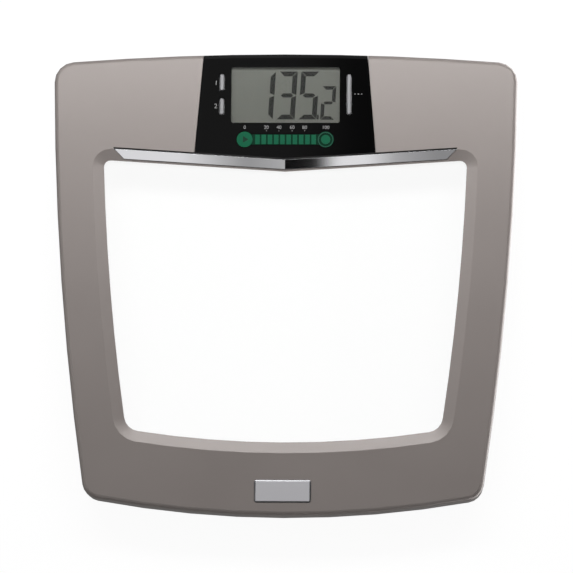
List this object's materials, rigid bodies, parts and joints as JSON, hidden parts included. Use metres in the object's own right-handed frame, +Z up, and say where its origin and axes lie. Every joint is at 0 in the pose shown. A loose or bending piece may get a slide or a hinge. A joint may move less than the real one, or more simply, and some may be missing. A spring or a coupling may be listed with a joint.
{
  "type": "bathroom scale",
  "caption": "Low square bathroom scale: a moulded frame round a clear glass platform, with a dark display panel, press keys and a light bar behind it.",
  "frame": {"origin": "on the floor, under the middle of the scale", "axes": "+Z up, +Y back towards the display, +X to the right of someone who reads it"},
  "size_m": [0.3204, 0.32, 0.0288],
  "materials": {
    "frame_paint": "metallic satin paint",
    "fascia_gloss": "mirror gloss",
    "trim_chrome": "polished",
    "badge_metal": "satin",
    "key_silver": "satin silver",
    "lcd_window": "clear",
    "lcd_glass": "grey liquid crystal",
    "goal_green": "clear tinted",
    "platform_glass": "clear",
    "gasket_rubber": "soft",
    "tray_plastic": "moulded",
    "switch_black": "moulded",
    "slider_grey": "moulded",
    "carrier_white": "moulded",
    "zebra_rubber": "soft",
    "board_green": "lacquered board",
    "switch_steel": "plated",
    "cell_steel": "bare",
    "screw_steel": "plated",
    "contact_steel": "nickel plated",
    "battery_wrap": "printed sleeve, left plain",
    "foot_plastic": "moulded",
    "pad_rubber": "matt",
    "lead_white": "flexible insulation",
    "lead_red": "flexible insulation"
  },
  "bodies": {
    "housing": {"top_frame": "frame_paint", "chrome_trim": "trim_chrome", "badge_plate": "badge_metal", "display_fascia": "fascia_gloss", "lcd_cover": "lcd_window", "lcd_panel": "lcd_glass", "lcd_carrier": "carrier_white", "zebra_strip_front": "zebra_rubber", "zebra_strip_back": "zebra_rubber", "main_board": "board_green", "controller_chip": "switch_black", "goal_light_guide": "goal_green", "glass_platform": "platform_glass", "glass_gasket": "gasket_rubber", "base_tray": "tray_plastic", "unit_switch_body": "switch_black", "battery_lead_left": "lead_red", "battery_lead_right": "lead_red", "user_key_1_switch": "switch_steel", "user_key_2_switch": "switch_steel", "set_key_switch": "switch_steel", "battery_1": "battery_wrap", "battery_2": "battery_wrap", "battery_3": "battery_wrap", "battery_4": "battery_wrap", "battery_contact_front_left": "contact_steel", "battery_contact_front_right": "contact_steel", "battery_contact_back_left": "contact_steel", "battery_contact_back_middle": "contact_steel", "battery_contact_back_right": "contact_steel", "housing_screw_1": "screw_steel", "housing_screw_2": "screw_steel", "housing_screw_3": "screw_steel", "housing_screw_4": "screw_steel", "housing_screw_5": "screw_steel", "housing_screw_6": "screw_steel", "load_cell_back_left": "cell_steel", "load_cell_lead_back_left": "lead_white", "load_cell_back_right": "cell_steel", "load_cell_lead_back_right": "lead_white", "load_cell_front_left": "cell_steel", "load_cell_lead_front_left": "lead_white", "load_cell_front_right": "cell_steel", "load_cell_lead_front_right": "lead_white"},
    "user_key_1": {"user_key_1": "key_silver", "user_key_1_plunger": "switch_black"},
    "user_key_2": {"user_key_2": "key_silver", "user_key_2_plunger": "switch_black"},
    "set_key": {"set_key": "key_silver", "set_key_plunger": "switch_black"},
    "foot_back_left": {"foot_cup_back_left": "foot_plastic", "foot_pad_back_left": "pad_rubber"},
    "foot_back_right": {"foot_cup_back_right": "foot_plastic", "foot_pad_back_right": "pad_rubber"},
    "foot_front_left": {"foot_cup_front_left": "foot_plastic", "foot_pad_front_left": "pad_rubber"},
    "foot_front_right": {"foot_cup_front_right": "foot_plastic", "foot_pad_front_right": "pad_rubber"},
    "battery_door": {"battery_door": "tray_plastic"},
    "unit_slider": {"unit_slider": "slider_grey"}
  },
  "joints": [
    {"name": "user_key_1_press", "type": "slide", "parent": "housing", "child": "user_key_1", "axis": [0, 0, -1], "range_m": [0, 0.0006], "stiffness_N_per_m": 1500},
    {"name": "user_key_2_press", "type": "slide", "parent": "housing", "child": "user_key_2", "axis": [0, 0, -1], "range_m": [0, 0.0006], "stiffness_N_per_m": 1500},
    {"name": "set_key_press", "type": "slide", "parent": "housing", "child": "set_key", "axis": [0, 0, -1], "range_m": [0, 0.0006], "stiffness_N_per_m": 1500},
    {"name": "foot_back_left_press", "type": "slide", "parent": "housing", "child": "foot_back_left", "axis": [0, 0, 1], "range_m": [0, 0.0006], "stiffness_N_per_m": 100000, "deforming": ["load_cell_back_left"]},
    {"name": "foot_back_right_press", "type": "slide", "parent": "housing", "child": "foot_back_right", "axis": [0, 0, 1], "range_m": [0, 0.0006], "stiffness_N_per_m": 100000, "deforming": ["load_cell_back_right"]},
    {"name": "foot_front_left_press", "type": "slide", "parent": "housing", "child": "foot_front_left", "axis": [0, 0, 1], "range_m": [0, 0.0006], "stiffness_N_per_m": 100000, "deforming": ["load_cell_front_left"]},
    {"name": "foot_front_right_press", "type": "slide", "parent": "housing", "child": "foot_front_right", "axis": [0, 0, 1], "range_m": [0, 0.0006], "stiffness_N_per_m": 100000, "deforming": ["load_cell_front_right"]},
    {"name": "battery_door_hinge", "type": "hinge", "parent": "housing", "child": "battery_door", "pos_m": [-0.0879, 0.1513, 0.006], "axis": [1, 0, 0], "range_deg": [0, 70]},
    {"name": "unit_slider_slide", "type": "slide", "parent": "housing", "child": "unit_slider", "axis": [1, 0, 0], "range_m": [0, 0.003]}
  ]
}
